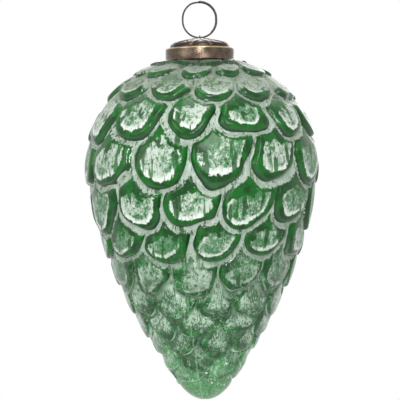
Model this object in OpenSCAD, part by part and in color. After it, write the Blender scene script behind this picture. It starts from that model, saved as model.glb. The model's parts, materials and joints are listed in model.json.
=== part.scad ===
// Blown glass pine cone ornament: a hollow shell moulded in overlapping scales, an embossed
// metal cap over its neck, a spring wire staple that holds the cap, and a wire hanging ring.
// Z points up. The origin is the inside of the ring's top, where a hook's wire bears.

/* [Hanging ring] */
// Outside width of the ring
ring_w = 16; // [12:0.5:22]
// Outside height of the ring
ring_h = 17; // [17:0.5:26]
// Diameter of the ring's wire
ring_wire = 0.8; // [0.6:0.05:1.1]
// How far round the wire's spare end laps behind the ring, in degrees
ring_lap = 135; // [100:5:160]

/* [Wire staple] */
// Diameter of the staple's wire
staple_wire = 0.6; // [0.5:0.05:0.9]
// Running clearance between the staple's eye and the ring's wire
eye_play = 0.08; // [0.05:0.01:0.1]
// How far the spread legs reach below the cap's ledge
leg_drop = 9; // [7:0.5:14]

/* [Cap] */
// Diameter of the cap's band
cap_d = 31; // [29:0.5:36]
// Height of the band
band_h = 5.7; // [4:0.1:9]
// Height of the domed top above the band
dome_h = 4.4; // [3:0.1:7]
// Diameter of the dome where it meets the band's ledge
dome_d = 27; // [22:0.5:28]
// Thickness of the cap's sheet metal
cap_t = 0.5; // [0.3:0.05:0.8]
// Height of the embossed petals above the dome
emboss = 0.35; // [0.2:0.05:0.6]
// Number of embossed petals
petals = 9; // [6:1:12]
// Gap between the ring and the top of the dome
ring_gap = 0.2; // [0.15:0.05:1]

/* [Glass body] */
// Largest diameter, in the grooves between the scales
body_d = 101; // [80:1:130]
// Height of the body from its shoulder to its tip
body_h = 151.7; // [130:0.1:200]
// Drop from the shoulder to the largest diameter
belly_drop = 46.2; // [38:0.1:58]
// Radius of the rounded tip
tip_r = 11.2; // [8:0.2:14]
// Thickness of the glass in the grooves
wall = 0.8; // [0.6:0.1:2]
// Gap between the band's lower edge and the glass shoulder
shoulder_gap = 0.3; // [0.2:0.05:1.5]
// Clearance between the neck and the inside of the cap's band
neck_play = 0.6; // [0.2:0.1:1.5]
// Thickness of the neck's wall
neck_wall = 1.8; // [1.2:0.1:2.4]

/* [Scales] */
// Height of a scale's edge, as a share of half its width
scale_lift = 0.2; // [0.05:0.01:0.3]
// Drop from a scale's lip to the groove under it
scale_edge = 2.4; // [1.5:0.1:4]
// How far the field of a scale is dished below its rim, as a share of its height
scale_dish = 0.25; // [0:0.05:0.5]
// Height at a scale's root, as a share of the height at its edge
root_lift = 0.35; // [0.1:0.05:0.7]

/* [Hidden] */
$fn = 64;

// Levels, from the hook's bearing point down
ring_mid_h = ring_h - ring_wire;
ring_mid_r = (ring_w - ring_wire) / 2;
ring_straight = ring_mid_h - 2 * ring_mid_r;
hinge_z = ring_wire / 2 - ring_mid_h;
cap_top_z = hinge_z - ring_wire / 2 - ring_gap;
ledge_z = cap_top_z - dome_h;
rim_z = ledge_z - cap_t;
shoulder_z = ledge_z - band_h - shoulder_gap;
belly_z = shoulder_z - belly_drop;
tip_z = shoulder_z - body_h;

// Staple
eye_r = ring_wire / 2 + eye_play + staple_wire / 2;
staple_hole_r = eye_r + staple_wire / 2 + 0.1;
leg_play = 0.2;

// Ring: gap between its turns, and how far past the top the wire crosses over, in degrees
lap_gap = 0.05;
cross_angle = 16;

// Body profile
body_r = body_d / 2;
neck_r = cap_d / 2 - cap_t - neck_play;
bore_r = neck_r - neck_wall;
shoulder_power = 2;
flank_power = 1.7;
flank_round = 0.8;
shoulder_h = belly_drop / pow(1 - pow(neck_r / body_r, shoulder_power), 1 / shoulder_power);
flank_h = belly_z - tip_z;

// Rows of scales from the shoulder down: tip level as a share of the body's height, number
// of scales, and turn of one scale's tip from the front
rows = [
    [0.020, 12, 6.5], [0.065, 12, 21.5], [0.133, 12, 6.5], [0.237, 12, 21.5],
    [0.370, 12, 6.5], [0.489, 12, 21.5], [0.584, 12, 6.5], [0.670, 12, 21.5],
    [0.738, 12, 6.5], [0.797, 10, 28], [0.851, 10, 10], [0.904, 8, 30], [0.943, 7, 15]
];
edge_power = 2.3;
row_gap = 0.4;
lip_share = 0.42;
lip_fall = 0.8;
front = -90;
columns = 96;
slope_step = 0.05;

function wrap(a, pitch) = a - pitch * round(a / pitch);

// Radius of the body in its grooves at level z
function shoulder_radius(z) =
    body_r * pow(max(0, 1 - pow((z - belly_z) / shoulder_h, shoulder_power)), 1 / shoulder_power);
function flank_radius(z) =
    body_r * pow(max(0, 1 - pow(min(1, (belly_z - z) / flank_h), flank_power)), flank_round);
function tip_radius(z) =
    let (below = tip_z + tip_r - z) below <= 0 ? 0 : sqrt(max(0, tip_r * tip_r - below * below));
function groove_radius(z) = z > belly_z ? shoulder_radius(z) : max(flank_radius(z), tip_radius(z));

// Outward direction of the profile at level z, as [radial, up]
function outward(z) =
    let (
        hi = min(shoulder_z, z + slope_step),
        lo = max(tip_z, z - slope_step),
        n = [hi - lo, groove_radius(lo) - groove_radius(hi)]
    )
    n / norm(n);

// Position across row i's nearest scale at angle a: 0 at its middle, 1 where two scales meet
function row_z(i) = i < 0 ? shoulder_z : shoulder_z - rows[i][0] * body_h;
function across(i, a) =
    let (pitch = 360 / rows[i][1])
    min(1, abs(wrap(a - front - rows[i][2], pitch)) / (pitch / 2));
function half_width(i) = groove_radius(row_z(i)) * PI / rows[i][1];

// Level of row i's free edge at angle a: a scallop from one meeting point down to the tip
function edge_z(i, a) =
    i < 0 ? shoulder_z :
    let (
        u = across(i, a),
        rise = row_z(i - 1) - row_z(i) - row_gap,
        free = row_z(i) + rise * (1 - sqrt(1 - pow(u, edge_power)))
    )
    min(free, edge_z(i - 1, a) - row_gap);

// How high the glass stands at share f of the way from the edge above to row i's own lip
function scale_height(i, a, f) =
    let (
        lip = scale_lift * half_width(i) * (1 - lip_fall * pow(across(i, a), 4)),
        crown = root_lift + (1 - root_lift) * f,
        dish = scale_dish * sin(180 * pow(f, 2))
    )
    lip * (crown - dish);

function lifted(a, z, h) =
    let (n = outward(z), r = groove_radius(z) + h * n[0])
    [r * cos(a), r * sin(a), z + h * n[1]];

// Rings of row i, from the edge above down: its field, its lip, and the groove under it
function field_rings(i) = let (drop = row_z(i - 1) - row_z(i)) drop < 8.5 ? 1 : drop < 15 ? 2 : 3;
function column_angles() = [for (k = [0 : columns - 1]) 360 * k / columns];
function row_ring(i, f) = [
    for (a = column_angles())
        let (
            above = edge_z(i - 1, a),
            edge = edge_z(i, a),
            lip = edge + min(scale_edge, lip_share * (above - edge))
        )
        f > 1 ? lifted(a, edge, 0) : lifted(a, above + (lip - above) * f, scale_height(i, a, f))
];
below_lip = 2;
scale_rings = [
    for (i = [0 : len(rows) - 1])
        let (count = field_rings(i))
        for (f = [for (k = [1 : count + 1]) k / (count + 1), below_lip]) row_ring(i, f)
];

function ring_of(r, z) = [for (a = column_angles()) [r * cos(a), r * sin(a), z]];

// The inner wall follows the grooves, one wall's thickness in
function inner_point(z) = let (n = outward(z)) [groove_radius(z) - wall * n[0], z - wall * n[1]];
inner_shares = [0.04, 0.13, 0.27, 0.46, 0.7, 0.95];
inner_rings = [
    for (share = inner_shares)
        let (p = inner_point(shoulder_z - body_h * share)) ring_of(p[0], p[1])
];

module glass_body() {
    rings = concat(
        [for (share = [0.1, 0.35]) ring_of(groove_radius(tip_z + tip_r * share), tip_z + tip_r * share)],
        [for (i = [len(scale_rings) - 1 : -1 : 0]) scale_rings[i]],
        [ring_of(neck_r, shoulder_z), ring_of(neck_r, rim_z), ring_of(bore_r, rim_z), ring_of(bore_r, shoulder_z)],
        inner_rings
    );
    last = len(rings) - 1;
    points = concat([for (r = rings) each r], [[0, 0, tip_z], [0, 0, tip_z + wall]]);
    outer_pole = len(points) - 2;
    inner_pole = len(points) - 1;
    side = [
        for (j = [0 : last - 1]) for (k = [0 : columns - 1])
            let (a = j * columns + k, b = j * columns + (k + 1) % columns)
            each [[a, a + columns, b + columns], [a, b + columns, b]]
    ];
    ends = [
        for (k = [0 : columns - 1])
            let (n = (k + 1) % columns)
            each [[outer_pole, k, n], [inner_pole, last * columns + n, last * columns + k]]
    ];
    color("seagreen") polyhedron(points, concat(side, ends), convexity = 10);
}

// Outline of the dome's outside, raised by lift
function dome_line(lift) = [
    [dome_d * 0.5, ledge_z],
    [dome_d * 0.475 + lift, ledge_z + dome_h * 0.30],
    [dome_d * 0.435 + lift * 0.7, ledge_z + dome_h * 0.54],
    [dome_d * 0.36, ledge_z + dome_h * 0.76 + lift],
    [dome_d * 0.24, ledge_z + dome_h * 0.91 + lift]
];

module cap_shell() {
    bead = 0.25;
    rotate_extrude() polygon(concat(
        [[staple_hole_r, cap_top_z], [staple_hole_r, cap_top_z - cap_t], [dome_d * 0.22, cap_top_z - dome_h * 0.09 - cap_t],
         [dome_d * 0.34, ledge_z + dome_h * 0.76 - cap_t], [dome_d * 0.41, ledge_z + dome_h * 0.54 - cap_t],
         [dome_d * 0.5 - cap_t * 1.3, ledge_z - cap_t]],
        [[cap_d / 2 - cap_t, rim_z], [cap_d / 2 - cap_t, ledge_z - band_h]],
        [[cap_d / 2 + bead, ledge_z - band_h], [cap_d / 2 + bead, ledge_z - band_h + 2 * bead],
         [cap_d / 2, ledge_z - band_h + 3 * bead], [cap_d / 2, ledge_z - bead * 1.5], [cap_d / 2 - bead * 1.5, ledge_z]],
        dome_line(0),
        [[dome_d * 0.12, cap_top_z]]
    ));
}

// One embossed petal seen from above: the lens where two discs meet
module petal_outline() {
    reach = dome_d * 0.175;
    middle = dome_d * 0.31;
    disc_r = reach * 1.35;
    shift = disc_r - reach * 0.5;
    translate([middle, 0]) intersection() {
        translate([0, shift]) circle(disc_r);
        translate([0, -shift]) circle(disc_r);
    }
}

module cap() {
    color("peru") {
        cap_shell();
        intersection() {
            rotate_extrude() polygon(concat(
                [[dome_d * 0.12, cap_top_z - cap_t / 2], [dome_d * 0.34, ledge_z + dome_h * 0.76 - cap_t / 2],
                 [dome_d * 0.41, ledge_z + dome_h * 0.54 - cap_t / 2], [dome_d * 0.46, ledge_z]],
                dome_line(emboss)
            ));
            for (i = [0 : petals - 1])
                rotate(360 * i / petals + 12)
                    translate([0, 0, ledge_z + emboss]) linear_extrude(dome_h) petal_outline();
        }
    }
}

module wire_between(a, b, d) {
    v = b - a;
    translate(a)
        rotate([0, acos(v[2] / norm(v)), atan2(v[1], v[0])])
            cylinder(d = d, h = norm(v), $fn = 24);
}

// A spring wire bent into an eye round the ring, with two legs that spread against the bore
module hanger_staple() {
    knee_z = cap_top_z - cap_t - 0.6;
    reach = bore_r - staple_wire / 2 - leg_play;
    color("dimgray") {
        translate([0, 0, hinge_z]) rotate([90, 0, 90]) rotate_extrude(angle = 180, $fn = 48)
            translate([eye_r, 0]) circle(d = staple_wire, $fn = 24);
        for (side = [-1, 1]) {
            top = [0, side * eye_r, hinge_z];
            knee = [0, side * eye_r, knee_z];
            toe = [0, side * reach, ledge_z - leg_drop + 2.5];
            foot = [0, side * (reach - 1.2), ledge_z - leg_drop];
            wire_between(knee, top, staple_wire);
            wire_between(knee, toe, staple_wire);
            wire_between(toe, foot, staple_wire);
            for (p = [knee, toe, foot]) translate(p) sphere(d = staple_wire, $fn = 24);
        }
    }
}

module wire_arc(from, span, r) {
    rotate([90, 0, 0]) rotate(from) rotate_extrude(angle = span, $fn = 96)
        translate([r, 0]) circle(d = ring_wire, $fn = 24);
}

// A loop of round wire, whose spare end crosses over at the top and laps behind the first turn
module hanging_ring() {
    top_z = ring_wire / 2 - ring_mid_r;
    low_z = top_z - ring_straight;
    lap_y = ring_wire + lap_gap;
    lap_top = [0, lap_y, ring_wire / 2];
    join = [-ring_mid_r * sin(cross_angle), 0, top_z + ring_mid_r * cos(cross_angle)];
    color("darkslategray") {
        translate([0, 0, top_z]) wire_arc(0, 180, ring_mid_r);
        translate([0, 0, low_z]) wire_arc(180, 180, ring_mid_r);
        for (side = [-1, 1])
            wire_between([side * ring_mid_r, 0, low_z], [side * ring_mid_r, 0, top_z], ring_wire);
        translate([0, lap_y, top_z]) wire_arc(0, 90, ring_mid_r);
        wire_between([ring_mid_r, lap_y, low_z], [ring_mid_r, lap_y, top_z], ring_wire);
        translate([0, lap_y, low_z]) wire_arc(90 - ring_lap, ring_lap - 90, ring_mid_r);
        translate(lap_top) sphere(d = ring_wire, $fn = 24);
        wire_between(lap_top, join, ring_wire * 0.9);
    }
}

glass_body();
cap();
hanger_staple();
hanging_ring();
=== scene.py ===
# Blown glass pine cone ornament with its cap, staple and hanging ring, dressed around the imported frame.
# Sizes are in millimetres here and become metres where a mesh or a tree is made.
import json
import math
from types import SimpleNamespace

import bpy
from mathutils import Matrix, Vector

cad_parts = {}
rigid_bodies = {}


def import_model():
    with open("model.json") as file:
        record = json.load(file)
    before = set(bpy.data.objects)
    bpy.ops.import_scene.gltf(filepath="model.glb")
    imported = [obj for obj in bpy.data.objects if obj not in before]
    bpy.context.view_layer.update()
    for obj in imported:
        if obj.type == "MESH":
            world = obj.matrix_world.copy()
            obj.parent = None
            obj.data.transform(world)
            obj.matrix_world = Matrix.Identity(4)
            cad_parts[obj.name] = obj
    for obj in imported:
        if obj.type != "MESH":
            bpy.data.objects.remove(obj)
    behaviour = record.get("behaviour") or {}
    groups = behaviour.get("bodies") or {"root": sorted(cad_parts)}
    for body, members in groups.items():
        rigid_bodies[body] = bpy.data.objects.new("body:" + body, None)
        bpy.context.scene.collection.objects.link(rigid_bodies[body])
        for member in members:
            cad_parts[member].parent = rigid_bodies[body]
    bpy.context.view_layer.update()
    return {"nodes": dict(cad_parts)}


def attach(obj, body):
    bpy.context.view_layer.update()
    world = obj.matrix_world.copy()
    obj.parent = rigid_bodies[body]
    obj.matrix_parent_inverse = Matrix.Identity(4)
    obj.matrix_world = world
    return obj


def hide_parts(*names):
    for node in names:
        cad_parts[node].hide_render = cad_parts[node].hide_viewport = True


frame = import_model()
mm = 0.001
print("frame loaded:", ", ".join(frame["nodes"]))


# Plain numbers that rise smoothly from 0 to 1

def smoothstep(x):
    t = max(0.0, min(1.0, x))
    return t * t * (3 - 2 * t)


def ramp(x, span):
    return smoothstep((x - span[0]) / (span[1] - span[0]))


# Node trees: a socket that does arithmetic, and one method that adds any node

class Value:
    def __init__(self, maker, socket):
        self.maker = maker
        self.socket = socket

    def math(self, operation, *others):
        return self.maker.add("ShaderNodeMath", {"operation": operation}, dict(enumerate((self, *others))))

    def side(self, name):
        return Value(self.maker, self.socket.node.outputs[name])

    def __add__(self, other):
        return self.math("ADD", other)

    def __radd__(self, other):
        return self.math("ADD", other)

    def __sub__(self, other):
        return self.math("SUBTRACT", other)

    def __rsub__(self, other):
        return self.maker.add("ShaderNodeMath", {"operation": "SUBTRACT"}, {0: other, 1: self})

    def __mul__(self, other):
        return self.math("MULTIPLY", other)

    def __rmul__(self, other):
        return self.math("MULTIPLY", other)

    def __truediv__(self, other):
        return self.math("DIVIDE", other)

    def __rtruediv__(self, other):
        return self.maker.add("ShaderNodeMath", {"operation": "DIVIDE"}, {0: other, 1: self})

    def __pow__(self, other):
        return self.math("POWER", other)

    def atLeast(self, other):
        return self.math("MAXIMUM", other)

    def atMost(self, other):
        return self.math("MINIMUM", other)

    def smooth(self, low, high):
        inputs = {"Value": self, "From Min": low, "From Max": high}
        return self.maker.add("ShaderNodeMapRange", {"interpolation_type": "SMOOTHSTEP"}, inputs)


class Maker:
    def __init__(self, tree):
        self.tree = tree

    def add(self, kind, settings=None, inputs=None, output=0):
        node = self.tree.nodes.new(kind)
        for name, setting in (settings or {}).items():
            setattr(node, name, setting)
        for name, given in (inputs or {}).items():
            if isinstance(given, Value):
                self.tree.links.new(given.socket, node.inputs[name])
            else:
                node.inputs[name].default_value = given
        return Value(self, node.outputs[output]) if len(node.outputs) else None

    def blend(self, factor, low, high):
        low, high = [(*c, 1) if isinstance(c, tuple) else c for c in (low, high)]
        return self.add("ShaderNodeMix", {"data_type": "RGBA"}, {0: factor, 6: low, 7: high}, 2)

    def noise(self, place, scale, detail=2.0, roughness=0.5, seed=0.0):
        inputs = {"Vector": place, "W": seed, "Scale": scale, "Detail": detail, "Roughness": roughness}
        return self.add("ShaderNodeTexNoise", {"noise_dimensions": "4D"}, inputs)


def newMaterial(name):
    material = bpy.data.materials.new(name)
    material.use_nodes = True
    material.node_tree.nodes.clear()
    maker = Maker(material.node_tree)
    place = maker.add("ShaderNodeTexCoord", output="Object")
    inMm = maker.add("ShaderNodeVectorMath", {"operation": "SCALE"}, {0: place, "Scale": 1 / mm})
    return material, maker, inMm


# Objects and meshes

def placed(name, data):
    holder = bpy.data.objects.new(name, data)
    bpy.context.collection.objects.link(holder)
    return holder


def newMesh(name, points, faces, facts=None):
    mesh = bpy.data.meshes.new(name)
    mesh.from_pydata(points, [], faces)
    for fact, numbers in (facts or {}).items():
        mesh.attributes.new(fact, "FLOAT", "POINT").data.foreach_set("value", numbers)
    return mesh


def ringFaces(rings, columns, closed=False):
    # Quads between rings of points, and from the last ring to the first where the section is closed
    faces = []
    for j in range(rings if closed else rings - 1):
        here, above = j * columns, (j + 1) % rings * columns
        for k in range(columns):
            n = (k + 1) % columns
            faces.append((here + k, here + n, above + n, above + k))
    return faces


def tubeFaces(rings, columns):
    # The same, with both ends closed by fans to the two points that follow the rings
    faces = ringFaces(rings, columns)
    start, last = rings * columns, (rings - 1) * columns
    for k in range(columns):
        n = (k + 1) % columns
        faces.append((start, n, k))
        faces.append((start + 1, last + k, last + n))
    return faces


# Which scale a point lies on, as both the shape and the glass's colour need it

rowsTried = 4                         # rows of scales that can reach one point
farAbove = 60.0                       # mm, where no scale lies above
lobeFactNames = ("inside", "along", "across")


def topScale(slots, first):
    # Of the scales tried at a point, the uppermost row that covers it wins. Gives the distance inside its
    # edge, the distance to the edge above, how far up and across the scale the point is, and its chance.
    left, above = 1.0, farAbove
    picked = [0.0] * len(slots[0])
    for rank in range(rowsTried):
        found = [0.0] * len(slots[0])
        for slot, facts in enumerate(slots):
            match = (slot - rank - first).math("FLOORED_MODULO", rowsTried).math("LESS_THAN", 0.5)
            found = [fact * match + old for fact, old in zip(facts, found)]
        taken = found[0].math("GREATER_THAN", 0.0) * left
        picked = [fact * taken + old for fact, old in zip(found, picked)]
        left = taken * -1 + left
        above = (found[0] * -1).atMost(above) * left + (1 - left) * above
    return (picked[0], above, *picked[1:])


# Camera and light

studio = {
    "photoWidth": 400,            # pixels, and the photo is square
    "mmPerPixel": 0.45,           # at the ornament's axis
    "distance": 750,
    "ringTopRow": 0.8,            # photo row of the ring's highest point
    "midRow": 200,                # and of the camera's own level
    "axisColumn": 202.4,          # photo column of the ornament's axis at the middle row
    "lean": 0.9,                  # degrees that the ornament leans in the photo
    "ringTop": 0.8,               # level of the ring's highest point
    "floorDrop": 330,
    "floorHalf": 4000,
    "paperGrey": 0.9,
    "worldGlow": 0.36,            # how much light the world gives, where white is 1
    "paperGlow": 0.5,             # how far the floor is plain white under the ornament
    "paperNear": 350,             # and the distances over which it turns plain white
    "paperFar": 1100,
    "lamps": [
        # name, place, size, watts
        ("keyLamp", (140, -740, 380), 360, 2.2),
        ("frontLamp", (-5, -820, 40), 80, 1.7),
        ("fillLamp", (-560, -480, 120), 460, 1.2),
        ("topLamp", (20, -200, 620), 320, 0.9),
        ("backLamp", (120, 620, 160), 500, 1.0),
    ],
    "aim": (0, 0, -90),           # where the lamps point
}


def makeCamera():
    s = studio
    level = s["ringTop"] - (s["midRow"] - s["ringTopRow"]) * s["mmPerPixel"]
    camera = bpy.data.cameras.new("photoCamera")
    camera.angle = 2 * math.atan(s["photoWidth"] * s["mmPerPixel"] / 2 / s["distance"])
    camera.clip_start = 10 * mm
    holder = placed("photoCamera", camera)
    aside = (s["photoWidth"] / 2 - s["axisColumn"]) * s["mmPerPixel"]
    holder.location = Vector((aside, -s["distance"], level)) * mm
    holder.rotation_euler = (math.pi / 2, math.radians(s["lean"]), 0)
    bpy.context.scene.camera = holder


def makeLamps():
    for name, place, size, watts in studio["lamps"]:
        lamp = bpy.data.lights.new(name, "AREA")
        lamp.shape = "DISK"
        lamp.size = size * mm
        lamp.energy = watts
        holder = placed(name, lamp)
        holder.location = Vector(place) * mm
        holder.rotation_euler = (Vector(studio["aim"]) - Vector(place)).to_track_quat("-Z", "Y").to_euler()


def whiteForView(maker, glow):
    # Plain white to the camera, to mirrors and through glass, and an ordinary level of light otherwise
    path = maker.add("ShaderNodeLightPath", output="Is Camera Ray")
    seen = path.atLeast(path.side("Is Glossy Ray")).atLeast(path.side("Is Transmission Ray"))
    return seen * (1 - glow) + glow


def makeWorld():
    world = bpy.data.worlds.new("studio")
    world.use_nodes = True
    world.node_tree.nodes.clear()
    maker = Maker(world.node_tree)
    glow = whiteForView(maker, studio["worldGlow"])
    shader = maker.add("ShaderNodeBackground", inputs={"Color": (1, 1, 1, 1), "Strength": glow})
    maker.add("ShaderNodeOutputWorld", inputs={"Surface": shader})
    bpy.context.scene.world = world


def makeFloor():
    # Paper that is lit and shaded near the ornament and runs out to plain white
    s = studio
    half, level = s["floorHalf"] * mm, -s["floorDrop"] * mm
    corners = [(-half, -half, level), (half, -half, level), (half, half, level), (-half, half, level)]
    floor = placed("floor", newMesh("floor", corners, [(0, 1, 2, 3)]))
    material, maker, place = newMaterial("floorPaper")
    away = maker.add("ShaderNodeVectorMath", {"operation": "LENGTH"}, {0: place}, "Value")
    paper = maker.add("ShaderNodeBsdfDiffuse", inputs={"Color": (s["paperGrey"],) * 3 + (1,)})
    white = maker.add("ShaderNodeEmission", inputs={"Color": (1, 1, 1, 1), "Strength": 1.0})
    plain = away.smooth(s["paperNear"], s["paperFar"]) * (1 - s["paperGlow"]) + s["paperGlow"]
    mixed = maker.add("ShaderNodeMixShader", inputs={0: whiteForView(maker, 0.0) * plain, 1: paper, 2: white})
    maker.add("ShaderNodeOutputMaterial", inputs={"Surface": mixed})
    floor.data.materials.append(material)


bpy.context.scene.view_settings.view_transform = "Standard"
makeCamera()
makeLamps()
makeWorld()
makeFloor()
print("studio ready")


# Materials

def finishMaterial(maker, shader):
    maker.add("ShaderNodeOutputMaterial", inputs={"Surface": shader})


def stretched(maker, place, factors):
    return maker.add("ShaderNodeVectorMath", {"operation": "MULTIPLY"}, {0: place, 1: factors})


def bumped(maker, height, strength, depth):
    inputs = {"Height": height, "Strength": strength, "Distance": depth * mm}
    return maker.add("ShaderNodeBump", inputs=inputs)


glassLook = {
    # upper body: green rims, and worn white in the fields and channels
    "deepGreen": (0.001, 0.056, 0.004),
    "brightGreen": (0.002, 0.135, 0.009),
    "fleckGreen": (0.035, 0.240, 0.050),
    # painted shade on the scales' undersides
    "shadeGreen": (0.045, 0.130, 0.054),
    # painted shade and reflection that dull the whites near the neck
    "shoulder": (0.150, 0.190, 0.130),
    # painted shade under the cap's band, over the neck glass's own deep green
    "collar": (0.012, 0.048, 0.018),
    # painted shade in the crease under each scale's lip
    "creaseShade": (0.008, 0.026, 0.012),
    "mistGreen": (0.080, 0.225, 0.098),
    "patina": (0.600, 0.700, 0.600),
    # painted highlight: the brightest white, just above a scale's rim and in sparks near the tip
    "bright": (0.840, 0.920, 0.840),
    "scratch": (0.110, 0.190, 0.120),
    "grooveWhite": (0.440, 0.540, 0.445),
    "grooveDark": (0.140, 0.230, 0.145),
    # lower body and tip: nearly bare green glass
    "clearDeep": (0.008, 0.062, 0.014),
    "clearGreen": (0.026, 0.170, 0.040),
    "clearShade": (0.070, 0.175, 0.085),
    "clearMist": (0.520, 0.690, 0.535),
    "clearGroove": (0.045, 0.140, 0.056),
    "clearPale": (0.150, 0.290, 0.165),
    # light green of the bare tip glass, brightened by painted light shining through it
    "tipGreen": (0.150, 0.490, 0.180),
    # painted glints, where light catches the glass and shines through it
    "glint": (0.480, 0.850, 0.520),
    # widths in mm on a scale of the belly, whose half width is 13 mm
    "rimWidth": 4.2,              # green band inside a scale's edge
    "rimBroader": 0.24,           # and how much broader it is near the neck
    "grooveWidth": 2.0,           # white line beside the edge above
    "topBand": 5.4,               # green band beyond that line, on a scale's left
    "sideBand": 3.1,              # and on its right
    "undersideWidth": 1.5,        # shaded strip along a scale's low edge
    "glintInset": 0.5,            # bright line inside an edge on the lower body
    # how far noise moves the borders, in mm
    "coarseTear": 5.5,
    "speckTear": 3.2,
    "fineTear": 2.6,
    "lineTear": 3.0,
    "lineDrift": 5.0,
    "rimLopsided": 4.0,           # how much wider a rim is on one side, which side by chance
    "seamWidth": 2.3,
    "seamAngle": 0.205,           # radians from the front, toward -x
    "bumpDepth": 0.18,
}

glassZones = {
    # where a change starts and ends, as shares of the drop from the shoulder to the tip
    "collar": (0.018, 0.036),
    "shoulder": (0.03, 0.19),
    "smallScales": (0.07, 0.16),
    "seam": (0.08, 0.12),
    "rimsNarrow": (0.12, 0.40),
    "whiteThins": (0.15, 0.45),
    "bareGlass": (0.48, 0.76),
    "nearTip": (0.70, 0.84),
    "greenBellies": (0.70, 0.90),
    "patchesFade": (0.74, 0.94),
    "tip": (0.88, 0.95),
    "patchesEnd": (0.90, 0.95),
}

glassShares = {
    # how much of what lies under it each mark covers
    "flecks": 0.5,
    "scratches": 0.75,
    "bars": 0.9,
    "underside": 0.65,
    "bareUnderside": 0.6,
    "lineGrain": 0.75,
    "lineDrips": 0.85,
    "seam": 0.9,
    "bareSeam": 0.25,
    "outline": 0.6,
    "patches": 0.9,
    "litBellies": 0.6,
    "channels": 0.70,
    "curls": 0.8,
    "sparks": 0.8,
    "shoulder": 0.7,
    "collar": 0.80,
}

glassNoise = {
    # size as waves per mm, detail, roughness, seed, and a share of that size along x, y and z
    "coarse": (0.28, 3, 0.6, 1.0, (1, 1, 1)),
    "fine": (1.1, 3, 0.65, 2.0, (1, 1, 1)),
    "speck": (0.85, 6, 0.74, 3.0, (1, 1, 0.75)),
    "cloud": (0.13, 3, 0.5, 4.0, (1, 1, 1)),
    "bars": (1.0, 2, 0.5, 5.0, (0.36, 0.36, 0.035)),
    "strokes": (1.0, 3, 0.6, 6.0, (2.2, 2.2, 0.14)),
    "hue": (0.20, 3, 0.5, 7.0, (1, 1, 1)),
    "belly": (0.45, 4, 0.6, 7.5, (1, 1, 1)),
    "drips": (0.8, 3, 0.6, 8.0, (1, 1, 0.10)),
    "ripple": (0.42, 3, 0.55, 9.0, (1, 1, 0.7)),
    "sparks": (0.5, 2, 0.5, 11.0, (1, 1, 0.5)),
    "breaks": (1.0, 4, 0.7, 14.0, (0.2, 0.2, 0.14)),
}


def glassFacts(maker, place):
    # What the finish is worked out from: noise of each kind, and a point's place on its scale
    g = glassLook

    def stored(name):
        return maker.add("ShaderNodeAttribute", {"attribute_name": name}, output="Fac")

    at = SimpleNamespace()
    for name, (scale, detail, roughness, seed, shares) in glassNoise.items():
        vars(at)[name] = maker.noise(stretched(maker, place, shares), scale, detail, roughness, seed)
    for name in ("coarse", "fine", "cloud", "ripple"):
        vars(at)[name] = vars(at)[name] - 0.5             # these push a border either way
    slots = [[stored(name + str(slot)) for name in lobeFactNames] for slot in range(rowsTried)]
    at.toEdge, toAbove, at.along, at.across = topScale(slots, stored("firstRow").math("ROUND"))
    size, at.drop, at.chance = stored("size"), stored("drop"), stored("chance")
    torn = (at.speck - 0.5) * g["speckTear"] + at.fine * g["fineTear"]
    at.torn = torn
    at.edge = at.toEdge / size + at.coarse * g["coarseTear"] + torn
    at.edge = at.edge + at.across * (at.chance - 0.5) * g["rimLopsided"]
    at.above = toAbove / size + at.coarse * g["lineTear"] + at.cloud * g["lineDrift"] - torn * 0.6
    at.low = 1 - at.along.smooth(0.16, 0.36)
    # Painted shade on the strip along a scale's low edge, which turns down away from the light
    strip = (at.toEdge / size + at.fine) / g["undersideWidth"]
    at.underside = (1 - strip.smooth(0.6, 1.4)) * at.low
    seamPlane = (math.cos(g["seamAngle"]), -math.sin(g["seamAngle"]), 0.0)
    aside = maker.add("ShaderNodeVectorMath", {"operation": "DOT_PRODUCT"}, {0: place, 1: seamPlane}, "Value")
    at.offSeam = (aside + at.coarse * 1.2 + at.fine * 0.8).math("ABSOLUTE")
    return at


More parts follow.
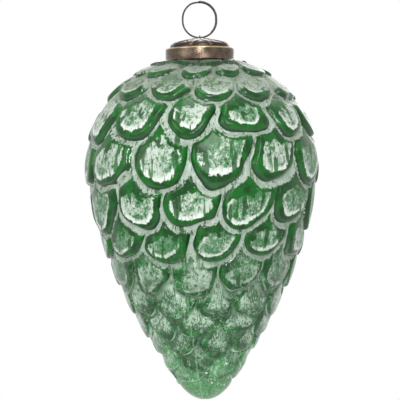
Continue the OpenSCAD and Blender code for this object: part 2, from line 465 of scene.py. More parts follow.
def wornFinish(maker, at):
    # Upper body. Also gives where the shiny green is.
    g, zones, shares, blend = glassLook, glassZones, glassShares, maker.blend
    # The small scales round the neck are green along their lower edge only
    small = 1 - at.drop.smooth(*zones["smallScales"])
    broad = (1 + g["rimBroader"] * (1 - at.drop.smooth(*zones["rimsNarrow"]))) * g["rimWidth"]
    rim = 1 - (at.edge / broad).smooth(0.93, 1.07)
    rim = rim * (1 - small * (at.along + at.coarse * 0.5).smooth(0.22, 0.34))
    leftSide = 1 - (at.across + at.coarse * 1.6 + at.fine * 0.5).smooth(-0.02, 0.06)
    band = at.above - leftSide * (g["topBand"] - g["sideBand"]) - g["sideBand"]
    rim = rim.atLeast((1 - band.smooth(-0.2, 0.2)) * (1 - small))
    groove = 1 - (at.above - at.cloud * 5.0 - g["grooveWidth"]).smooth(-0.2, 0.2)
    line = groove.atLeast(at.toEdge.math("LESS_THAN", 0.001))
    green = blend(at.hue.smooth(0.42, 0.60), g["deepGreen"], g["brightGreen"])
    green = blend((at.speck + at.fine * 0.6).smooth(0.56, 0.70) * shares["flecks"], green, g["fleckGreen"])

    # White lies thickest just above a scale's rim; further up, green shows through as fine mottling
    nearRim = 1 - (at.edge - broad).smooth(0.5, 5.0)
    thick = nearRim * (at.low * 0.25 + 0.22) + 0.58
    thick = thick - at.along * (at.drop.smooth(*zones["whiteThins"]) * 0.30 + 0.10)
    thick = thick + at.cloud * 1.1 + (at.speck - 0.5) * 2.4 + (at.chance - 0.5) * 0.3
    # On a scale's low side, just above the rim, the white turns brighter: a painted highlight
    white = blend(nearRim * at.low, g["patina"], g["bright"])
    white = blend(at.strokes.smooth(0.52, 0.66) * shares["scratches"], white, g["scratch"])
    mist = blend((at.fine * 0.8 - at.speck + 1.0).smooth(0.56, 0.66), g["mistGreen"], green)
    colour = blend(thick.smooth(0.36, 0.70), mist, white)
    colour = blend(at.bars.smooth(0.595, 0.62) * shares["bars"], colour, green)
    colour = blend(rim, colour, green)
    # Painted shade on each scale's underside
    colour = blend(at.underside * shares["underside"], colour, g["shadeGreen"])

    pale = (at.coarse * 1.5 + at.torn * 0.4 + 0.5).smooth(0.35, 0.75)
    lineColour = blend(pale, g["grooveWhite"], g["patina"])
    grain = (at.speck + at.strokes * 0.5).smooth(0.74, 0.92)
    lineColour = blend(grain * shares["lineGrain"], lineColour, g["grooveDark"])
    drips = (at.drips + at.cloud * 0.4).smooth(0.555, 0.61)
    lineColour = blend(drips * shares["lineDrips"], lineColour, green)
    colour = blend(line, colour, lineColour)
    # The mould's halves met in an upright plane through the axis, and the seam they left is rubbed green
    seam = 1 - (at.offSeam / g["seamWidth"]).smooth(0.4, 0.6)
    seam = seam * at.breaks.smooth(0.40, 0.45) * at.drop.smooth(*zones["seam"])
    colour = blend(seam * shares["seam"], colour, green)
    # A thin line of painted shade in the crease under each scale's lip
    outline = (1 - at.toEdge.smooth(0.30, 0.75)) * (1 - at.along.smooth(0.2, 0.5))
    outline = outline * at.toEdge.math("GREATER_THAN", 0.001)
    return blend(outline * shares["outline"], colour, g["creaseShade"]), rim * (1 - line)


def bareFinish(maker, at):
    # Lower body: pale streaks lie above a dark belly, which painted glints cross in curls and in a line along
    # the low edge
    g, zones, shares, blend = glassLook, glassZones, glassShares, maker.blend
    rims, grooves = at.edge / g["rimWidth"], at.above / g["grooveWidth"]
    patch = rims.smooth(1.15, 1.75) * (at.along + at.coarse * 0.6).smooth(0.24, 0.42)
    patch = patch * (1 - at.drop.smooth(*zones["patchesFade"]) * 0.75)
    patch = patch * (1 - at.drop.smooth(*zones["patchesEnd"]))
    belly = blend((at.belly + at.cloud * 0.4).smooth(0.45, 0.62), g["clearDeep"], g["clearGreen"])
    # Near the tip the bellies turn light green in patches: painted light shining through the thin glass
    lit = at.drop.smooth(*zones["greenBellies"]) * (at.speck + at.cloud * 0.8).smooth(0.40, 0.62)
    belly = blend(lit * shares["litBellies"], belly, g["tipGreen"])
    streaks = (at.strokes * 1.2 + (at.speck - 0.5) * 0.9 + at.cloud * 0.5 - 0.10).smooth(0.44, 0.56)
    colour = blend(patch * shares["patches"], belly, blend(streaks, g["clearShade"], g["clearMist"]))
    channel = blend((at.speck + at.strokes * 0.4).smooth(0.62, 0.80), g["clearGroove"], g["clearPale"])
    tipColour = blend((at.strokes * 0.8 + at.speck * 0.6).smooth(0.58, 0.84), g["clearGreen"], g["tipGreen"])
    channel = blend(at.drop.smooth(*zones["tip"]), channel, tipColour)
    softLine = (1 - grooves.smooth(0.2, 1.2)).atLeast(1 - at.toEdge.smooth(0.0, 0.4))
    # Painted shade along the low edges of the scales on the lower body
    colour = blend(at.underside * shares["bareUnderside"], colour, g["creaseShade"])
    colour = blend(softLine * shares["channels"], colour, channel)

    # Painted glints: bright curls in the glass and a bright line inside each low edge
    nearTip = at.drop.smooth(*zones["nearTip"])
    glintCurl = 1 - at.ripple.math("ABSOLUTE").smooth(0.004, 0.024)
    glintCurl = glintCurl * (at.cloud + at.fine * 0.8).smooth(0.0, 0.12)
    glintSill = 1 - (at.toEdge - g["glintInset"]).math("ABSOLUTE").smooth(0.10, nearTip * 0.25 + 0.35)
    glintSill = glintSill * at.low * at.speck.smooth(0.30, 0.46)
    colour = blend((glintCurl * shares["curls"]).atLeast(glintSill * (nearTip * 0.3 + 0.6)), colour, g["glint"])
    # Painted glints: small bright sparks near the tip
    colour = blend(at.sparks.smooth(0.68, 0.72) * nearTip * shares["sparks"], colour, g["bright"])
    # and a faint painted glint along the mould seam
    return blend((1 - at.offSeam.smooth(0.15, 0.40)) * shares["bareSeam"], colour, g["glint"])


def glassMaterial():
    g, zones, shares = glassLook, glassZones, glassShares
    material, maker, place = newMaterial("greenGlass")
    at = glassFacts(maker, place)
    colour, shiny = wornFinish(maker, at)
    clear = (at.drop + at.coarse * 0.3).smooth(*zones["bareGlass"])
    colour = maker.blend(clear, colour, bareFinish(maker, at))
    # Painted shade and reflection dull the whites toward the neck, and painted shade under the cap's band
    # darkens the glass round the neck over its own deep green
    shoulderShade = (1 - (at.drop + at.coarse * 0.08).smooth(*zones["shoulder"])) * (1 - shiny)
    colour = maker.blend(shoulderShade * shares["shoulder"], colour, g["shoulder"])
    # Painted shade under the cap's band, over the glass's own deep green
    collarShade = 1 - (at.drop + at.coarse * 0.05).smooth(*zones["collar"])
    colour = maker.blend(collarShade * shares["collar"], colour, g["collar"])
    height = at.strokes * 0.5 + at.speck * 0.5 + at.ripple * clear * 5.0
    shader = maker.add("ShaderNodeBsdfPrincipled", inputs={
        "Base Color": colour,
        "Roughness": 0.42 - shiny.atLeast(clear * 0.7) * 0.28,
        "IOR": 1.45,
        "Specular IOR Level": 0.3,
        "Coat Weight": clear * 0.4 + 0.10,
        "Coat Roughness": 0.04,
        "Sheen Weight": 0.06,
        "Sheen Roughness": 0.35,
        "Sheen Tint": (0.85, 0.92, 0.84, 1),
        "Normal": bumped(maker, height, 0.4, g["bumpDepth"]),
    })
    finishMaterial(maker, shader)
    return material


bronzeLook = {
    "plum": (0.036, 0.024, 0.024),
    "dark": (0.058, 0.040, 0.030),
    "mid": (0.150, 0.112, 0.080),
    # worn gold of the relief, also the painted highlight on the band's top edge
    "bright": (0.460, 0.365, 0.220),
}


def bronzeMaterial():
    b = bronzeLook
    material, maker, place = newMaterial("antiqueBronze")
    raised = maker.add("ShaderNodeAttribute", {"attribute_name": "raised"}, output="Fac")
    domed = maker.add("ShaderNodeAttribute", {"attribute_name": "domed"}, output="Fac")
    cloud = maker.noise(place, 0.35, 4, 0.6, 1.0)
    fine = maker.noise(stretched(maker, place, (1.0, 1.0, 2.2)), 1.5, 5, 0.7, 2.0)
    colour = maker.blend((cloud * 0.5 + fine * 0.5).smooth(0.36, 0.64), b["dark"], b["mid"])
    # The dome's hollows keep their dark tarnish, and its relief is worn bright; the band's rounded top edge and
    # the ledge inside it get the same gold as a painted highlight
    colour = maker.blend(domed * (1 - raised.smooth(0.25, 0.60)) * 0.85, colour, b["plum"])
    colour = maker.blend((raised + (fine - 0.5) * 1.2).smooth(0.55, 1.0) * 0.9, colour, b["bright"])
    shader = maker.add("ShaderNodeBsdfPrincipled", inputs={
        "Base Color": colour,
        "Metallic": 0.9,
        "Roughness": fine * 0.26 + 0.13,
        "Normal": bumped(maker, fine, 0.35, 0.12),
    })
    finishMaterial(maker, shader)
    return material


wireLook = {"dark": (0.030, 0.034, 0.032), "worn": (0.110, 0.115, 0.105)}


def wireMaterial():
    material, maker, place = newMaterial("darkWire")
    spots = maker.noise(place, 1.4, 4, 0.6, 1.0)
    colour = maker.blend(spots.smooth(0.45, 0.75), wireLook["dark"], wireLook["worn"])
    shader = maker.add("ShaderNodeBsdfPrincipled", inputs={
        "Base Color": colour,
        "Metallic": 0.7,
        "Roughness": spots * 0.3 + 0.22,
        "Normal": bumped(maker, spots, 0.2, 0.08),
    })
    finishMaterial(maker, shader)
    return material


# Glass body: a smooth closed shell, which a node tree lifts into rows of overlapping scales

body = {
    "width": 101.0,               # across the grooves
    "height": 151.7,              # shoulder to tip
    "bellyDrop": 46.2,            # shoulder to the widest level
    "tipRadius": 11.2,
    "shoulderLevel": -26.8,       # below the inside of the hanging ring's top
    "neckRadius": 14.4,
    "boreRadius": 12.6,
    "rimLevel": -21.3,
    "rimRound": 0.35,
    "wall": 0.8,
    "shoulderPower": 2.0,         # roundness of the outline above the widest level
    "flankPower": 1.7,            # and below it
    "flankRound": 0.8,
    "columns": 380,
    "outerRings": 225,
    "profileSteps": 6000,         # steps in which the outline is measured
    "innerRings": 12,
    "innerStart": 0.035,          # level of the first inner ring, as a share of the drop to the tip
    "innerSpan": 0.94,            # and how far down they reach from there
    "innerPower": 1.15,           # above 1, they lie closer together near the neck
    "bellyHalf": 13.0,            # half width of a scale at the belly, which the sizes below are for
    "lift": 2.98,                 # height of such a scale
    "liftPower": 0.45,            # how soon narrower scales are lower
    "slope": 0.65,                # how much lower a scale is where it comes out from under the next
    "slopeSpan": (0.10, 0.95),    # shares of its length between which it gets lower
    "bellySink": 0.72,            # extra depth of the channels at the belly
    "flankSink": 1.7,             # and on the lower body
    # where each change starts and ends, as shares of the drop from the shoulder to the tip
    "bellySinkSpan": (0.0, 0.25),
    "flankSinkSpan": (0.30, 0.55),
    "tipSinkSpan": (0.86, 0.91),
    "swellEndSpan": (0.94, 0.99),
    "tipLiftSpan": (0.84, 0.92),
    "collarRadius": 16.0,         # plain glass under the cap's edge, and how soon the scales rise from it
    "collarWidth": 3.4,
    "tipSwell": 1.2,              # the tip's extra fullness beside its last scales
    "tipLift": 0.45,              # height of the last scales, as a share of the others'
    "roll": 2.3,                  # width over which a scale's edge rounds off
    "rollPower": 2.4,
    "foot": 2.6,                  # and over which it rises beside the scale above
    "smallest": 0.3,              # least share to which those widths shrink on small scales
    "shrinkPower": 0.8,
    "lobeWidth": 0.95,            # as a share of the room between neighbours
    "lobeLow": 0.70,              # from the tip up to the widest level, in rows
    "lobeHigh": 1.20,             # and from there up to its hidden top
    "topPower": 1.5,              # 2 is round, and less is pointed
    "lobePower": 2.1,
    "widthChance": (0.93, 0.12),  # least share of the width, and what chance adds
    "middleChance": 0.10,         # range of the widest level, in rows
    "lengthInRows": 1.7,          # from a scale's tip to its top, in rows
    "edgeLimit": 25.0,            # mm from an edge past which the distance isn't followed
    "leastGirth": 8.0,            # below this, near the tip, scales lean and shift no further
    "frontTurn": 0.25,            # from the front, where a row's turn is 0, to the first column
    "rowSeed": 3.1,               # sets the chance draws of one row apart from the next
    "tilt": 0.17,                 # a scale leans this far across for each mm up
    "uneven": 6.2,                # mm by which slow noise shifts the scales
    "unevenNoise": (0.052, 1.0, 0.4),     # waves per mm, detail, roughness
    "seed": 4.0,
    # tip level as a share of the height, scales in the row, turn of a tip from the front in degrees
    "rows": [
        (0.020, 12, 6.5), (0.065, 12, 21.5), (0.133, 12, 6.5), (0.237, 12, 21.5),
        (0.370, 12, 6.5), (0.489, 12, 21.5), (0.584, 12, 6.5), (0.670, 12, 21.5),
        (0.738, 12, 6.5), (0.797, 10, 28), (0.851, 10, 10), (0.904, 8, 30), (0.943, 7, 15),
    ],
}
rowFacts = ("tip", "rise", "count", "place")


def grooveRadius(level):
    # Levels are measured up from the shoulder, so they are negative on the body
    b = body
    half, power = b["width"] / 2, b["shoulderPower"]
    if level > -b["bellyDrop"]:
        fullRise = b["bellyDrop"] / (1 - (b["neckRadius"] / half) ** power) ** (1 / power)
        up = (level + b["bellyDrop"]) / fullRise
        return half * (1 - up ** power) ** (1 / power)
    down = min(1.0, (-b["bellyDrop"] - level) / (b["height"] - b["bellyDrop"]))
    below = b["tipRadius"] - b["height"] - level
    roundTip = math.sqrt(max(0.0, b["tipRadius"] ** 2 - below ** 2)) if below > 0 else 0.0
    return max(half * (1 - down ** b["flankPower"]) ** b["flankRound"], roundTip)


def grooveSink(level):
    # Extra depth of the channels at this level
    b = body
    drop = -level / b["height"]
    tip = ramp(drop, b["tipSinkSpan"])
    sink = b["bellySink"] * ramp(drop, b["bellySinkSpan"])
    sink += (b["flankSink"] - b["bellySink"]) * ramp(drop, b["flankSinkSpan"])
    return sink * (1 - tip) - b["tipSwell"] * tip * (1 - ramp(drop, b["swellEndSpan"]))


def outerProfile():
    # Points at even distances along the profile, from just above the tip to just below the shoulder.
    # The levels that it is measured at lie closest together at both ends, where it runs nearly flat.
    b = body
    steps = b["profileSteps"]
    half = steps // 2
    levels = [-b["height"] * (1 - 0.75 * (k / half) ** 2) if k <= half else
              -b["height"] * (1 - k / steps) ** 2 for k in range(steps + 1)]
    points = [(grooveRadius(z), z) for z in levels]
    walked = [0.0]
    for (r0, z0), (r1, z1) in zip(points, points[1:]):
        walked.append(walked[-1] + math.hypot(r1 - r0, z1 - z0))
    out, k = [], 0
    for j in range(1, b["outerRings"] + 1):
        goal = walked[-1] * j / (b["outerRings"] + 0.5)
        while walked[k + 1] < goal:
            k += 1
        t = (goal - walked[k]) / (walked[k + 1] - walked[k])
        (r0, z0), (r1, z1) = points[k], points[k + 1]
        length = math.hypot(r1 - r0, z1 - z0)
        radius = r0 + (r1 - r0) * t - grooveSink(z0)
        out.append((radius, z0 + (z1 - z0) * t, (z1 - z0) / length, (r0 - r1) / length))
    return out


def rowData():
    rows, last = [], 0.0
    for share, count, turn in body["rows"]:
        level = -share * body["height"]
        rows.append({"tip": level, "rise": last - level, "count": count, "place": turn / 360,
                     "half": grooveRadius(level) * math.pi / count})
        last = level
    return rows


def rowsAt(level, rows):
    # The row whose tips lie next below this level, with the one above it and the two below it.
    # A row keeps its slot from ring to ring, so that the distances stored in a slot run on smoothly.
    # Slots past the first or the last row hold a row too far off to matter.
    far = {"rise": 10.0, "count": 12, "place": 0.0}
    farTip = 900.0
    first = next((i for i, row in enumerate(rows) if row["tip"] < level), len(rows)) - 1
    slots = [None] * rowsTried
    for i in range(first, first + rowsTried):
        slots[i % rowsTried] = rows[i] if 0 <= i < len(rows) else {**far, "tip": farTip if i < 0 else -farTip}
    return first, slots


def halfScale(level, rows):
    # Half a scale's width, running smoothly from row to row
    for upper, lower in zip(rows, rows[1:]):
        if level > lower["tip"]:
            t = min(1.0, (upper["tip"] - level) / (upper["tip"] - lower["tip"]))
            return upper["half"] + (lower["half"] - upper["half"]) * max(0.0, t)
    return rows[-1]["half"]


def ringPlan():
    # Rings from the tip up, over the neck's rim and down the inside: radius, level, outward normal, rows
    b = body
    rows = rowData()
    plan = []
    for ring in outerProfile():
        faded = 1 - (1 - b["tipLift"]) * ramp(-ring[1] / b["height"], b["tipLiftSpan"])
        if ring[1] > -b["bellyDrop"]:
            faded *= smoothstep((ring[0] - b["collarRadius"]) / b["collarWidth"])
        plan.append((*ring, faded, halfScale(ring[1], rows), rowsAt(ring[1], rows)))
    rim, soft = b["rimLevel"] - b["shoulderLevel"], b["rimRound"]
    neck = [
        (b["neckRadius"], 0.0), (b["neckRadius"], rim * 0.5), (b["neckRadius"], rim - soft),
        (b["neckRadius"] - soft * 0.3, rim - soft * 0.3), (b["neckRadius"] - soft, rim),
        (b["boreRadius"] + soft, rim), (b["boreRadius"] + soft * 0.3, rim - soft * 0.3),
        (b["boreRadius"], rim - soft), (b["boreRadius"], 0.0),
    ]
    none = rowsAt(-b["height"], rows)
    plan += [(r, z, 1.0, 0.0, 0.0, 1.0, none) for r, z in neck]
    for k in range(b["innerRings"]):
        share = b["innerStart"] + b["innerSpan"] * (k / (b["innerRings"] - 1)) ** b["innerPower"]
        level = -b["height"] * share
        plan.append((grooveRadius(level) - grooveSink(level) - b["wall"], level, 1.0, 0.0, 0.0, 1.0, none))
    return plan


def shellMesh(plan):
    b = body
    columns = b["columns"]
    points = []
    ringFacts = ("radius", "level", "outR", "outZ", "onScale", "half", "firstRow")
    values = {name: [] for name in ("turn", *ringFacts)}
    for step in range(rowsTried):
        for fact in rowFacts:
            values[fact + str(step)] = []
    for radius, level, outR, outZ, onScale, half, (first, slots) in plan:
        for k in range(columns):
            angle = math.tau * k / columns
            points.append((radius * math.cos(angle) * mm, radius * math.sin(angle) * mm,
                           (level + b["shoulderLevel"]) * mm))
        values["turn"] += [k / columns for k in range(columns)]
        for name, number in zip(ringFacts, (radius, level, outR, outZ, onScale, half, first)):
            values[name] += [number] * columns
        for step, row in enumerate(slots):
            for fact in rowFacts:
                values[fact + str(step)] += [row[fact]] * columns
    poles = (-b["height"], b["wall"] - b["height"])
    points += [(0, 0, (z + b["shoulderLevel"]) * mm) for z in poles]
    atPoles = {"level": list(poles), "onScale": [0.0, 0.0]}
    for name in values:
        values[name] += atPoles.get(name, [1.0, 1.0])
    return newMesh("glassShell", points, tubeFaces(len(plan), columns), values)


def storedNumber(maker, name):
    return maker.add("GeometryNodeInputNamedAttribute", {"data_type": "FLOAT"}, {"Name": name})


def pointFacts(maker, given):
    # Where each point of the shell lies, once slow noise has shifted it a little
    at = SimpleNamespace()
    inMm = maker.add("ShaderNodeVectorMath", {"operation": "SCALE"},
                     {0: maker.add("GeometryNodeInputPosition"), "Scale": 1 / mm})
    wobble = maker.noise(inMm, *body["unevenNoise"], given.side("Seed"))
    both = maker.add("ShaderNodeSeparateXYZ", inputs={0: wobble.side("Color")})
    at.radius = storedNumber(maker, "radius")
    at.girth = (math.tau * at.radius).atLeast(body["leastGirth"])
    at.turn = storedNumber(maker, "turn") + (both - 0.5) * given.side("Uneven") * 2 / at.girth
    at.level = storedNumber(maker, "level") + (both.side("Y") - 0.5) * given.side("Uneven") * 2
    at.climb = storedNumber(maker, "outR").math("ABSOLUTE")
    return at


def nearestScale(maker, given, at, slot):
    # Distance inside the edge of this row's nearest scale, in mm: below 0 is outside it.
    # Then how far up and across the scale the point is, and the scale's chance.
    b = body
    tip, rise, count, place = [storedNumber(maker, fact + str(slot)) for fact in rowFacts]
    shear = given.side("Tilt") * (at.level - tip) / at.girth
    x = (at.turn + b["frontTurn"] - place - shear) * count
    number = x.math("ROUND").math("FLOORED_MODULO", count) + tip * b["rowSeed"]
    drawn = maker.add("ShaderNodeTexWhiteNoise", {"noise_dimensions": "1D"}, {"W": number + given.side("Seed")})
    chance = maker.add("ShaderNodeSeparateXYZ", inputs={0: drawn.side("Color")})
    leastWidth, moreWidth = b["widthChance"]
    width = given.side("Lobe Width") * (leastWidth + chance * moreWidth)
    across = (x - x.math("ROUND")) * 2
    u = across.math("ABSOLUTE") / width
    middle = tip + rise * (given.side("Lobe Low") + (chance.side("Y") - 0.5) * b["middleChance"])
    high = at.level.math("GREATER_THAN", middle)
    reach = rise * (given.side("Lobe Low") * (1 - high) + given.side("Lobe High") * high)
    v = (at.level - middle).math("ABSOLUTE") / reach
    power = 2 * (1 - high) + given.side("Top Power") * high
    form = u ** b["lobePower"] + v ** power
    # How fast that form changes turns it into a distance
    halfRoom = (width * at.radius * math.pi / count).atLeast(0.5)
    slopeX = u ** (b["lobePower"] - 1) * b["lobePower"] / halfRoom
    slopeZ = v ** (power - 1) * power / reach * at.climb
    steep = (slopeX * slopeX + slopeZ * slopeZ) ** 0.5
    inside = ((1 - form) / steep.atLeast(0.01)).atMost(b["edgeLimit"]).atLeast(-b["edgeLimit"])
    along = ((at.level - tip) / (rise * b["lengthInRows"])).atLeast(0.0).atMost(1.0)
    return inside, along, across, chance.side("Z")


def scaleTree(material):
    b = body
    tree = bpy.data.node_groups.new("rowsOfScales", "GeometryNodeTree")
    sizes = {
        "Scale Lift": b["lift"], "Edge Roll": b["roll"], "Foot": b["foot"], "Lobe Width": b["lobeWidth"],
        "Lobe Low": b["lobeLow"], "Lobe High": b["lobeHigh"], "Top Power": b["topPower"], "Tilt": b["tilt"],
        "Uneven": b["uneven"], "Seed": b["seed"],
    }
    tree.interface.new_socket("Geometry", in_out="INPUT", socket_type="NodeSocketGeometry")
    for name in sizes:
        tree.interface.new_socket(name, in_out="INPUT", socket_type="NodeSocketFloat")
    tree.interface.new_socket("Material", in_out="INPUT", socket_type="NodeSocketMaterial")
    tree.interface.new_socket("Geometry", in_out="OUTPUT", socket_type="NodeSocketGeometry")
    maker = Maker(tree)
    given = maker.add("NodeGroupInput")
    at = pointFacts(maker, given)
    lobes = [nearestScale(maker, given, at, slot) for slot in range(rowsTried)]
    edge, above, along, across, chance = topScale(lobes, storedNumber(maker, "firstRow"))

    # How far each point is lifted, and which way
    onScale, half = storedNumber(maker, "onScale"), storedNumber(maker, "half")
    outR, outZ = storedNumber(maker, "outR"), storedNumber(maker, "outZ")
    share = half / b["bellyHalf"]
    size = share.atLeast(b["smallest"]).atMost(1.0) ** b["shrinkPower"]
    rolled = (1 - edge / (given.side("Edge Roll") * size)).atLeast(0.0)
    bank = 1 - rolled ** b["rollPower"]
    foot = (above / (given.side("Foot") * size)).smooth(0.0, 1.0)
    crown = 1 - along.smooth(*b["slopeSpan"]) * b["slope"]
    out = given.side("Scale Lift") * share ** b["liftPower"] * bank * crown * foot * onScale * mm
    angle = storedNumber(maker, "turn") * math.tau
    offset = maker.add("ShaderNodeCombineXYZ", inputs={
        "X": out * outR * angle.math("COSINE"),
        "Y": out * outR * angle.math("SINE"),
        "Z": out * outZ,
    })
    shape = given.side("Geometry")
    shape = maker.add("GeometryNodeSetPosition", inputs={"Geometry": shape, "Offset": offset})

    # What the material needs is kept on the points, and the rest is removed
    kept = {"chance": chance, "size": size, "drop": storedNumber(maker, "level") / -b["height"]}
    for slot, facts in enumerate(lobes):
        for name, number in zip(lobeFactNames, facts):
            kept[name + str(slot)] = number
    for name, number in kept.items():
        shape = maker.add("GeometryNodeStoreNamedAttribute", {"data_type": "FLOAT", "domain": "POINT"},
                          {"Geometry": shape, "Name": name, "Value": number})
    spent = [fact + str(slot) for slot in range(rowsTried) for fact in rowFacts]
    for name in spent + ["turn", "radius", "level", "outR", "outZ", "onScale", "half"]:
        shape = maker.add("GeometryNodeRemoveAttribute", inputs={"Geometry": shape, "Name": name})
    shape = maker.add("GeometryNodeSetShadeSmooth", inputs={"Geometry": shape})
    shape = maker.add("GeometryNodeRealizeInstances", inputs={"Geometry": shape})
    inputs = {"Geometry": shape, "Material": given.side("Material")}
    shape = maker.add("GeometryNodeSetMaterial", inputs=inputs)
    maker.add("NodeGroupOutput", inputs={"Geometry": shape})
    return tree, {**sizes, "Material": material}


def plainMesh(name, source, tree, settings):
    # Runs the tree on the mesh and keeps the result as an ordinary mesh object
    holder = placed(name + "Source", source)
    modifier = holder.modifiers.new("rule", "NODES")
    modifier.node_group = tree
    for item in tree.interface.items_tree:
        if item.in_out == "INPUT" and item.name in settings:
            modifier[item.identifier] = settings[item.name]
    depsgraph = bpy.context.evaluated_depsgraph_get()
    mesh = bpy.data.meshes.new_from_object(holder.evaluated_get(depsgraph), preserve_all_data_layers=True,
                                           depsgraph=depsgraph)
    bpy.data.objects.remove(holder)
    mesh.name = name
    return placed(name, mesh)


def makeGlassBody():
    tree, settings = scaleTree(glassMaterial())
    piece = plainMesh("glassBody", shellMesh(ringPlan()), tree, settings)
    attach(piece, "ornament")
    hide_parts("glass_body")
    print("glass body:", len(piece.data.polygons), "faces")


makeGlassBody()


# Cap: a turned profile whose dome is embossed with petals

cap = {
    "bandRadius": 15.5,
    "bandHeight": 5.7,
    "ledgeLevel": -20.8,          # top of the band, where the dome's foot stands
    "domeHeight": 4.4,
    "domeRadius": 13.5,
    # radius and height of points on the dome, above the ledge
    "dome": ((13.38, 0.9), (13.1, 1.6), (12.1, 2.25), (9.7, 2.95), (6.4, 3.7), (3.4, 4.25)),
    # on its inside, from its top and before the sheet's thickness comes off
    "domeInside": ((3.2, -0.2), (9.4, -1.5), (11.8, -2.2)),
    # and on the inside of its foot, above the ledge
    "domeFoot": ((12.8, 0.9), (12.85, -0.5)),
    "sheet": 0.5,
    "holeRadius": 1.18,
    "bead": 0.25,                 # how far the rolled lower edge stands out
    "petals": (                   # number, middle radius, half length, half width, turn
        (9, 9.3, 4.3, 2.9, 12),
        (9, 4.6, 2.2, 1.35, 32),
    ),
    "petalPower": 0.8,            # a petal's outline: less is blunter
    "border": (0.22, 0.17),       # place and width of its raised border, as shares of its half width
    "rib": 0.35,                  # width of its midrib
    "ribShare": 0.8,              # heights beside the border's
    "fieldShare": 0.45,
    "outsideShare": 0.5,
    "emboss": 0.35,
    "columns": 288,
}


def petalHeight(radius, angle):
    # Outer petals are lenses with a raised border and a midrib; a ring of small ones lies inside
    c = cap
    best = 0.0
    borderPlace, borderWidth = c["border"]
    for count, middle, reach, width, turn in c["petals"]:
        pitch = math.tau / count
        a = (angle - math.radians(turn)) / pitch
        off = (a - round(a)) * pitch * radius
        along = (radius - middle) / reach
        spread = width * max(0.0, 1 - along * along) ** c["petalPower"]
        if spread > 0.02:
            inside = 1 - abs(off) / spread
            border = math.exp(-((inside - borderPlace) / borderWidth) ** 2)
            rib = math.exp(-(off / c["rib"]) ** 2) * (1 - abs(along)) ** 0.5 * c["ribShare"]
            field = smoothstep(inside / 0.3) * c["fieldShare"]
            best = max(best, max(border, rib, field) if inside > 0 else border * c["outsideShare"])
    return best


def lathe(name, profile, columns, heightAt):
    # profile is a closed list of (radius, level, outward radial, outward up, embossed share, painted highlight
    # share)
    points, raised, domed = [], [], []
    for radius, level, outR, outZ, share, paintedHighlight in profile:
        for k in range(columns):
            angle = math.tau * k / columns
            h = share * heightAt(radius, angle) if share > 0 else 0.0
            r = radius + h * outR
            points.append((r * math.cos(angle) * mm, r * math.sin(angle) * mm, (level + h * outZ) * mm))
            raised.append(max(h / cap["emboss"], paintedHighlight))
            domed.append(1.0 if share > 0 else 0.0)
    faces = ringFaces(len(profile), columns, closed=True)
    mesh = newMesh(name, points, faces, {"raised": raised, "domed": domed})
    mesh.shade_smooth()
    return placed(name, mesh)


def arcPoints(points, steps):
    # A smooth curve through the given points
    out = []
    for i in range(len(points) - 1):
        p0, p1, p2, p3 = [Vector(points[max(0, min(len(points) - 1, i + d))]) for d in (-1, 0, 1, 2)]
        for k in range(steps):
            t = k / steps
            out.append(0.5 * (2 * p1 + (p2 - p0) * t + (2 * p0 - 5 * p1 + 4 * p2 - p3) * t ** 2
                              + (3 * p1 - p0 - 3 * p2 + p3) * t ** 3))
    out.append(Vector(points[-1]))
    return out


def capProfile():
    c = cap
    foot = c["ledgeLevel"] - c["bandHeight"]
    ledge = c["ledgeLevel"]
    top = ledge + c["domeHeight"]
    out = []

    def run(points, share=0.0, steps=1, paintedHighlight=0.0):
        line = arcPoints(points, steps) if steps > 1 else [Vector(p) for p in points]
        for i, p in enumerate(line):
            before, after = line[max(0, i - 1)], line[min(len(line) - 1, i + 1)]
            along = (after - before).normalized()
            fade = min(1.0, i / 4, (len(line) - 1 - i) / 4) if share else 0.0
            out.append((p.x, p.y, along.y, -along.x, share * fade, paintedHighlight))

    radius, bead, sheet = c["bandRadius"], c["bead"], c["sheet"]
    run([(radius - sheet, foot + 0.05), (radius - sheet * 0.5, foot), (radius + bead * 0.7, foot + 0.02)])
    run([(radius + bead, foot + 0.16), (radius + bead * 0.9, foot + 0.42), (radius + 0.06, foot + 0.62)],
        steps=3)
    run([(radius, foot + 0.75), (radius, ledge - 2.2), (radius, ledge - 0.85)])
    # Painted highlight in bright gold on the band's rounded top edge and the ledge inside it
    run([(radius, ledge - 0.6), (radius - 0.03, ledge - 0.4), (radius - 0.16, ledge - 0.14),
         (radius - 0.5, ledge)], steps=4, paintedHighlight=1.0)
    run([(radius - 1.0, ledge)], paintedHighlight=0.85)
    run([(c["domeRadius"] + 0.35, ledge)])
    dome = [(r, ledge + up) for r, up in c["dome"]]
    run([(c["domeRadius"], ledge + 0.12), *dome, (c["holeRadius"] + 0.35, top)], share=c["emboss"], steps=10)
    run([(c["holeRadius"], top - 0.1), (c["holeRadius"], top - sheet)])
    run([(r, top + up - sheet) for r, up in c["domeInside"]] + [(r, ledge + up) for r, up in c["domeFoot"]])
    run([(radius - sheet, ledge - sheet)])
    return out


def makeCap():
    piece = lathe("bronzeCap", capProfile(), cap["columns"], petalHeight)
    piece.data.materials.append(bronzeMaterial())
    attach(piece, "ornament")
    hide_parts("cap")
    print("cap:", len(piece.data.polygons), "faces")


makeCap()


# Wires: round tubes swept along their paths, with rounded ends

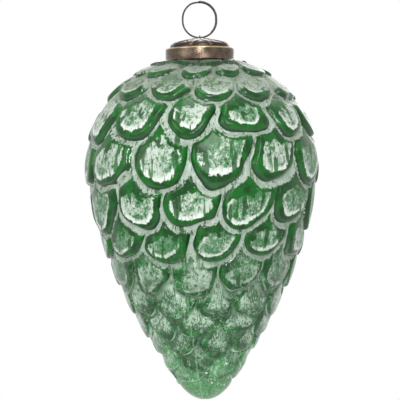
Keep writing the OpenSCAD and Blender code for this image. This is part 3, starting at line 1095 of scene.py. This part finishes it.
wires = {
    "ringWidth": 16.0,            # over the wire, as is the height
    "ringHeight": 17.0,
    "ringWire": 0.8,
    "ringStep": 3,                # degrees
    "lapDegrees": 135,            # how far the spare end runs behind the first turn
    "lapGap": 0.05,
    "lapTuck": 0.25,              # by how much the spare end's radius is smaller
    "crossDegrees": 34,           # turn over which the wire crosses to the back
    "sideDegrees": 16,            # turn that the ring's straighter sides take up
    "stapleWire": 0.6,
    "eyePlay": 0.08,
    "eyeStep": 12,                # degrees
    "holePlay": 0.2,
    "kneeDrop": 0.6,              # below the cap's sheet, where the legs start to spread
    "legDrop": 9.0,               # from the cap's ledge to the legs' ends
    "legPlay": 0.2,
    "legBend": (1.2, 2.5),        # how far the ends turn in, and from which height above them
    "legSteps": 6,
    "endDegrees": (78, 55, 30),   # rings of the wires' round ends
    "sides": 20,
}


def sweepTube(name, path, diameter, sides, material):
    radius = diameter / 2
    path = [Vector(p) for p in path]
    first, last = (path[0] - path[1]).normalized(), (path[-1] - path[-2]).normalized()
    rings = []
    ends = [(math.sin(math.radians(d)), math.cos(math.radians(d))) for d in wires["endDegrees"]]
    for out, across in ends:
        rings.append((path[0] + first * radius * out, across))
    rings += [(p, 1.0) for p in path]
    for out, across in reversed(ends):
        rings.append((path[-1] + last * radius * out, across))
    points = []
    side = None
    for index, (centre, across) in enumerate(rings):
        before, after = rings[max(0, index - 1)][0], rings[min(len(rings) - 1, index + 1)][0]
        along = (after - before).normalized()
        if side is None:
            side = along.orthogonal().normalized()
        side = (side - along * side.dot(along)).normalized()
        up = along.cross(side)
        for k in range(sides):
            a = math.tau * k / sides
            points.append((centre + (side * math.cos(a) + up * math.sin(a)) * radius * across) * mm)
    points += [(path[0] + first * radius) * mm, (path[-1] + last * radius) * mm]
    mesh = newMesh(name, points, tubeFaces(len(rings), sides))
    mesh.shade_smooth()
    mesh.materials.append(material)
    return placed(name, mesh)


def ringPath():
    w = wires
    radius = (w["ringWidth"] - w["ringWire"]) / 2
    straight = w["ringHeight"] - w["ringWire"] - 2 * radius
    top = w["ringWire"] / 2 - radius
    path = []
    behind = w["ringWire"] + w["lapGap"]
    highest = 90
    for d in range(highest - w["lapDegrees"], highest + 360 + 1, w["ringStep"]):
        a = math.radians(d)
        away = 1 - smoothstep((d - highest) / w["crossDegrees"])
        r = radius - w["lapTuck"] * away
        aboveSide = math.degrees(math.asin(math.sin(a)))
        level = top - straight * smoothstep(0.5 - aboveSide / w["sideDegrees"])
        path.append((r * math.cos(a), behind * away, level + r * math.sin(a)))
    return path


def staplePath():
    w = wires
    hinge = w["ringWire"] * 1.5 - w["ringHeight"]
    eye = w["ringWire"] / 2 + w["eyePlay"] + w["stapleWire"] / 2
    knee = hinge - w["ringWire"] / 2 - w["holePlay"] - cap["sheet"] - w["kneeDrop"]
    reach = body["boreRadius"] - w["stapleWire"] / 2 - w["legPlay"]
    foot = cap["ledgeLevel"] - w["legDrop"]
    inward, bendRise = w["legBend"]
    leg = [(0, reach - inward, foot), (0, reach, foot + bendRise), (0, eye, knee), (0, eye, hinge)]
    points = []
    for low, high in zip(leg, leg[1:]):
        points += [Vector(low).lerp(Vector(high), k / w["legSteps"]) for k in range(w["legSteps"])]
    arc = []
    for d in range(0, 180 + 1, w["eyeStep"]):
        a = math.radians(d)
        arc.append(Vector((0, eye * math.cos(a), hinge + eye * math.sin(a))))
    other = [Vector((0, -p.y, p.z)) for p in reversed(points)]
    return points + arc + other


def makeWires():
    material = wireMaterial()
    w = wires
    ring = sweepTube("wireRing", ringPath(), w["ringWire"], w["sides"], material)
    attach(ring, "ring")
    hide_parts("hanging_ring")
    staple = sweepTube("wireStaple", staplePath(), w["stapleWire"], w["sides"], material)
    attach(staple, "ornament")
    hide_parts("hanger_staple")
    print("wires ready")


makeWires()
